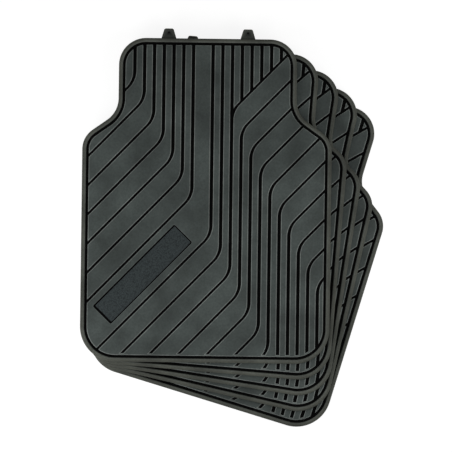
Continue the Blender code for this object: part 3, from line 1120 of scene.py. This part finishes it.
@dataclass(frozen=True)
class MouldedRubber:
    """Compression-moulded black rubber, matt and finely grained.

    It looks grey on the tops and a little olive on the rim, with soft clouds of lighter and darker tone
    spread at random. Its edges are painted pale, as scuffing and a painted highlight, and the grooves near
    black, as painted shade.

    Attributes:
        name: The material's name.
        specular: Strength of its gloss. The copy for the faces down in the grooves takes almost none, as
            painted shade.
        panel, groove, rim, worn: Colours of the panel tops, the groove bottoms, the rim and the pale edges.
            The
        groove bottoms' near-black is painted shade, and the pale edges are scuffing with a painted highlight.
        roughness, roughness_spread: Roughness, and how far the speckle moves it.
        cloud_size, cloud_depth: Size and strength of the soft clouds in the tone.
        speckle_size, speckle_depth: Size and strength of the speckle in the tone.
        grain_size, grain_depth: Size and depth of the mould's grain. The real grain is about 0.5 mm wide, and
            it is drawn twice as coarse so that it shows.
    """

    name: str
    specular: float
    panel: str = "#3d4341"
    groove: str = "#040404"
    rim: str = "#42443e"
    scuffed_and_highlit: str = "#747976"
    roughness: float = 0.6
    roughness_spread: float = 0.08
    cloud_size: float = 60 * MM
    cloud_depth: float = 0.3
    speckle_size: float = 4 * MM
    speckle_depth: float = 0.15
    grain_size: float = 1.1 * MM
    grain_depth: float = 0.05 * MM

    def build(self) -> bpy.types.Material:
        """Make the material. The mesh's finish values choose the colour, and noise varies it and the gloss.

        Returns:
            The material.
        """
        material, tree, shader = new_material(self.name)
        place = add_node(tree, "ShaderNodeTexCoord").outputs["Object"]
        values = add_node(tree, "ShaderNodeAttribute", attribute_name="finish").outputs["Vector"]
        shares = add_node(tree, "ShaderNodeSeparateXYZ", {"Vector": values}).outputs
        # The mix starts from the grooves' near-black, which is painted shade, and the relief share lays the
        # panel's tone over it.
        colour = linear(self.groove)
        for share, code in zip(shares, (self.panel, self.rim, self.scuffed_and_highlit)):
            sockets = {MIX_SHARE: share, MIX_FIRST: colour, MIX_SECOND: linear(code)}
            colour = add_node(tree, "ShaderNodeMix", sockets, data_type="RGBA").outputs[MIX_RESULT]
        varied = []
        for size, middle, depth in (
            (self.cloud_size, 1, self.cloud_depth),
            (self.speckle_size, 1, self.speckle_depth),
            (self.speckle_size, self.roughness, self.roughness_spread),
        ):
            noise = add_node(tree, "ShaderNodeTexNoise", {"Vector": place, "Scale": 1 / size})
            spread = add_node(tree, "ShaderNodeMapRange", {
                "Value": noise.outputs[0], "From Min": NOISE_LOW, "From Max": NOISE_HIGH,
                "To Min": middle - depth, "To Max": middle + depth,
            })
            varied.append(spread.outputs[0])
        clouds, speckle, gloss = varied
        tone = add_node(tree, "ShaderNodeMath", {0: clouds, 1: speckle}, operation="MULTIPLY").outputs[0]
        toned = add_node(tree, "ShaderNodeVectorMath", {0: colour, "Scale": tone}, operation="SCALE")
        grain = add_node(tree, "ShaderNodeTexVoronoi", {"Vector": place, "Scale": 1 / self.grain_size})
        bump = add_node(tree, "ShaderNodeBump", {"Height": grain.outputs[0], "Distance": self.grain_depth})
        tree.links.new(toned.outputs[0], shader.inputs["Base Color"])
        tree.links.new(gloss, shader.inputs["Roughness"])
        tree.links.new(bump.outputs[0], shader.inputs["Normal"])
        shader.inputs["Specular IOR Level"].default_value = self.specular
        return material


@dataclass(frozen=True)
class StippledVinyl:
    """Calendered vinyl plate with a pressed stipple: darker and a little bluer than the rubber round it.

    Attributes:
        face, pit: Colours of the stipple's tops and pits. The pits' darker tone is painted shade.
        roughness, specular: Roughness and strength of the gloss.
        stipple_size, stipple_depth: Size and depth of the stipple. The real stipple is about 1 mm, and it is
            drawn twice as coarse so that it shows.
    """

    face: str = "#383f40"
    pit_shade: str = "#191e1f"
    roughness: float = 0.55
    specular: float = 0.12
    stipple_size: float = 2.4 * MM
    stipple_depth: float = 0.15 * MM

    def build(self) -> bpy.types.Material:
        """Make the material: a cell pattern lowers the pits and darkens them with painted shade.

        Returns:
            The material.
        """
        material, tree, shader = new_material("stippled_badge_vinyl")
        place = add_node(tree, "ShaderNodeTexCoord").outputs["Object"]
        pattern = add_node(tree, "ShaderNodeTexVoronoi", {"Vector": place, "Scale": 1 / self.stipple_size})
        cells = pattern.outputs[0]
        sockets = {MIX_SHARE: cells, MIX_FIRST: linear(self.face), MIX_SECOND: linear(self.pit_shade)}
        colour = add_node(tree, "ShaderNodeMix", sockets, data_type="RGBA").outputs[MIX_RESULT]
        lowered = {"Height": cells, "Distance": self.stipple_depth}
        bump = add_node(tree, "ShaderNodeBump", lowered, invert=True)
        tree.links.new(colour, shader.inputs["Base Color"])
        tree.links.new(bump.outputs[0], shader.inputs["Normal"])
        shader.inputs["Roughness"].default_value = self.roughness
        shader.inputs["Specular IOR Level"].default_value = self.specular
        return material


@dataclass(frozen=True)
class Studio:
    """White floor, soft light and the camera above the mats.

    Attributes:
        floor_size, floor_drop: Width of the floor, and how far it lies below the bottom mat.
        floor_paint, floor_glow: Colour of the floor's paint, and the plain white added where it is seen
            directly.
        sky: Strength of the even light from all round.
        lamp_size: Width of both lamps, large enough to light softly.
        key_power, key_from: The key lamp on the left: power and place.
        fill_power, fill_from: The weaker fill lamp on the right: power and place.
        view_middle: Point of the top mat in the middle of the picture.
        view_roll: Turn of the camera about its line of sight, in radians.
        view_width: Width of the picture at the top mat.
        view_height: Height of the top mat's face.
        camera_distance: Distance from the camera to the top mat. It is long, as all mats show at one scale.
        sensor: Width of the camera's sensor in millimetres.
    """

    floor_size: float = 12.0
    floor_drop: float = 0.4 * MM
    floor_paint: str = "#909090"
    floor_glow: float = 0.86
    sky: float = 0.25
    lamp_size: float = 0.9
    key_power: float = 7.0
    key_from: tuple[float, float, float] = (-0.75, -0.45, 0.55)
    fill_power: float = 5.0
    fill_from: tuple[float, float, float] = (0.8, -0.2, 0.65)
    view_middle: tuple[float, float] = (38.9 * MM, -48.8 * MM)
    view_roll: float = math.radians(0.747)
    view_width: float = 880.2 * MM
    view_height: float = 38.6 * MM
    camera_distance: float = 24.0
    sensor: float = 36.0

    def seen_directly(self, tree: bpy.types.NodeTree) -> bpy.types.NodeSocket:
        """Tell rays from the camera, mirrors and glass from rays that carry light.

        Args:
            tree: The node tree that asks.

        Returns:
            A value that is 1 for the former and 0 for the latter.
        """
        rays = add_node(tree, "ShaderNodeLightPath").outputs
        seen = rays["Is Camera Ray"]
        for kind in ("Is Glossy Ray", "Is Transmission Ray"):
            seen = add_node(tree, "ShaderNodeMath", {0: seen, 1: rays[kind]}, operation="MAXIMUM").outputs[0]
        return seen

    def add_floor(self) -> None:
        """Lay the floor: matt paint that takes the object's shadow, with white added where it is seen."""
        mesh = bpy.data.meshes.new("studio_floor")
        half = self.floor_size / 2
        corners = np.array([[-half, -half], [half, -half], [half, half], [-half, half]])
        points = np.column_stack([corners, np.full(len(corners), -self.floor_drop)])
        mesh.from_pydata(points.tolist(), [], [[0, 1, 2, 3]])
        floor = bpy.data.objects.new("studio_floor", mesh)
        bpy.context.scene.collection.objects.link(floor)
        material, tree, shader = new_material("matt_floor_paint")
        shares = {0: self.seen_directly(tree), 1: self.floor_glow}
        glow = add_node(tree, "ShaderNodeMath", shares, operation="MULTIPLY")
        tree.links.new(glow.outputs[0], shader.inputs["Emission Strength"])
        shader.inputs["Emission Color"].default_value = WHITE
        shader.inputs["Base Color"].default_value = linear(self.floor_paint)
        shader.inputs["Roughness"].default_value = 1.0
        shader.inputs["Specular IOR Level"].default_value = 0.0
        mesh.materials.append(material)

    def add_sky(self) -> None:
        """Light the scene evenly from all round. What is seen there directly is plain white."""
        world = bpy.data.worlds.new("studio_sky")
        world.use_nodes = True
        tree = world.node_tree
        tree.nodes.clear()
        strength = add_node(tree, "ShaderNodeMapRange", {
            "Value": self.seen_directly(tree), "To Min": self.sky, "To Max": 1.0,
        })
        light = add_node(tree, "ShaderNodeBackground", {"Color": WHITE, "Strength": strength.outputs[0]})
        add_node(tree, "ShaderNodeOutputWorld", {"Surface": light.outputs[0]})
        bpy.context.scene.world = world

    def add_lamp(self, name: str, power: float, place: tuple[float, float, float]) -> None:
        """Hang a large soft lamp, aimed at the middle of the mats. It doesn't show in pictures.

        Args:
            name: The lamp's name.
            power: Its power in watts.
            place: Where it hangs.
        """
        lamp = bpy.data.lights.new(name, "AREA")
        lamp.shape = "DISK"
        lamp.size = self.lamp_size
        lamp.energy = power
        holder = bpy.data.objects.new(name, lamp)
        holder.location = place
        aim = Vector((*self.view_middle, 0)) - holder.location
        holder.rotation_euler = aim.to_track_quat("-Z", "Y").to_euler()
        holder.visible_camera = False
        bpy.context.scene.collection.objects.link(holder)

    def add_camera(self) -> None:
        """Set the camera straight above the mats. The lens fits the picture's width at its distance."""
        data = bpy.data.cameras.new("camera")
        data.sensor_width = self.sensor
        data.lens = self.sensor * self.camera_distance / self.view_width
        data.clip_end = 2 * self.camera_distance
        camera = bpy.data.objects.new("camera", data)
        camera.location = (*self.view_middle, self.view_height + self.camera_distance)
        camera.rotation_euler = (0, 0, self.view_roll)
        bpy.context.scene.collection.objects.link(camera)
        bpy.context.scene.camera = camera


@dataclass(frozen=True)
class MatStack:
    """The fanned stack: which body carries each mat, and where the mats lie.

    Attributes:
        bodies: The bodies from the top mat down.
        fan_step: Turn from one mat to the next.
        axis: Place of the fan's axis in the plan.
    """

    bodies: tuple[str, ...] = ("top_mat", "second_mat", "third_mat", "fourth_mat", "bottom_mat")
    fan_step: float = math.radians(4.12)
    axis: tuple[float, float] = (-246.5 * MM, -327.5 * MM)

    def build(self) -> None:
        """Build and dress every mat and badge plate, and fix each to its body."""
        plan = MatPlan()
        # The second rubber is a copy with almost no gloss for the faces down in the grooves: painted shade.
        rubbers = (
            MouldedRubber("moulded_black_rubber", specular=0.15).build(),
            MouldedRubber("moulded_rubber_painted_groove_shade", specular=0.02).build(),
        )
        vinyl = (StippledVinyl().build(),)
        for number, body in enumerate(self.bodies, start=1):
            node, plate_node = f"mat_{number}", f"badge_plate_{number}"
            place = Place(self.axis, self.fan_step * (number - 1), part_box(node)[0].z)
            pieces = (
                (RubberMat(plan).build(f"rubber_mat_{number}", place, rubbers), node, "mat_rubber"),
                (BadgePlate(plan).build(f"vinyl_badge_{number}", place, vinyl), plate_node, "badge_vinyl"),
            )
            for piece, replaced, slot in pieces:
                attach(piece, body)
                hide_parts(replaced)
                LOG.info("%s rides on %s: %d faces", piece.name, body, len(piece.data.polygons))


def main() -> None:
    """Build the mats and plates, dress them, and set the floor, the lights and the camera."""
    logging.basicConfig(level=logging.INFO)
    bpy.context.scene.view_settings.view_transform = "Standard"
    MatStack().build()
    studio = Studio()
    studio.add_floor()
    studio.add_sky()
    studio.add_lamp("key_lamp", studio.key_power, studio.key_from)
    studio.add_lamp("fill_lamp", studio.fill_power, studio.fill_from)
    studio.add_camera()


if __name__ == "__main__":
    main()
